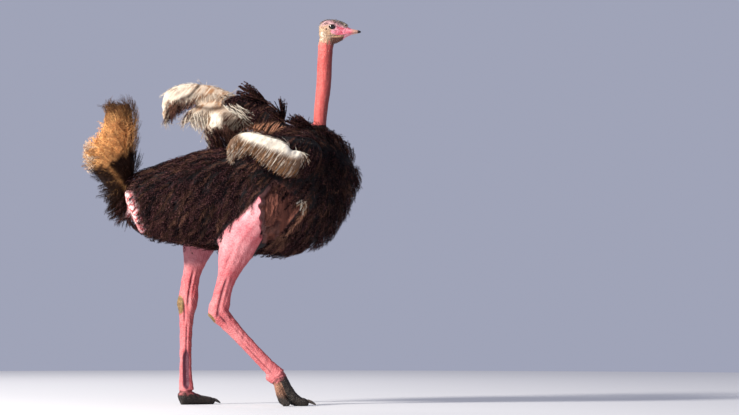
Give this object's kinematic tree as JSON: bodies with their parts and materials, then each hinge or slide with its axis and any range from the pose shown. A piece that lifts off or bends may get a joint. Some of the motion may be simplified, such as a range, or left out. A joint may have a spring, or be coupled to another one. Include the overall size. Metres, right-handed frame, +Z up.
{
  "type": "ostrich",
  "caption": "Life-size still model of an adult male ostrich walking with raised wings: black body plumage, cream wing plumes, brown tail brush, bare pink neck and legs.",
  "frame": {"origin": "on the floor, under the middle of the bird's box", "axes": "+Z up, +X the way the bird faces, +Y its left side"},
  "size_m": [1.5728, 0.886, 2.194],
  "materials": {
    "black_plumage": "soft matt black body plumes, a little brown at the tips",
    "white_plumage": "soft cream-white wing plumes",
    "brown_plumage": "fluffy golden-brown tail plumes, black at the root",
    "pink_skin": "bare coral-pink skin, matt, finely wrinkled",
    "bill_horn": "satin pink horn, dusky at the tip",
    "claw_horn": "satin dark horn",
    "toe_scale": "rough dark brown scaled skin",
    "eye": "wet gloss, dark brown"
  },
  "bodies": {
    "root": {"bill_lower": "bill_horn", "bill_upper": "bill_horn", "breast": "black_plumage", "claw_left": "claw_horn", "claw_right": "claw_horn", "eye_left": "eye", "eye_right": "eye", "head": "pink_skin", "neck_lower": "pink_skin", "neck_middle": "pink_skin", "neck_upper": "pink_skin", "shank_left": "pink_skin", "shank_right": "pink_skin", "tail": "brown_plumage", "tarsus_left": "pink_skin", "tarsus_right": "pink_skin", "thigh_left": "pink_skin", "thigh_right": "pink_skin", "toe_inner_left": "toe_scale", "toe_inner_right": "toe_scale", "toe_outer_left": "toe_scale", "toe_outer_right": "toe_scale", "trunk": "black_plumage", "wing_arm_left": "black_plumage", "wing_arm_right": "black_plumage", "wing_plumes_left": "white_plumage", "wing_plumes_right": "white_plumage"}
  },
  "joints": []
}
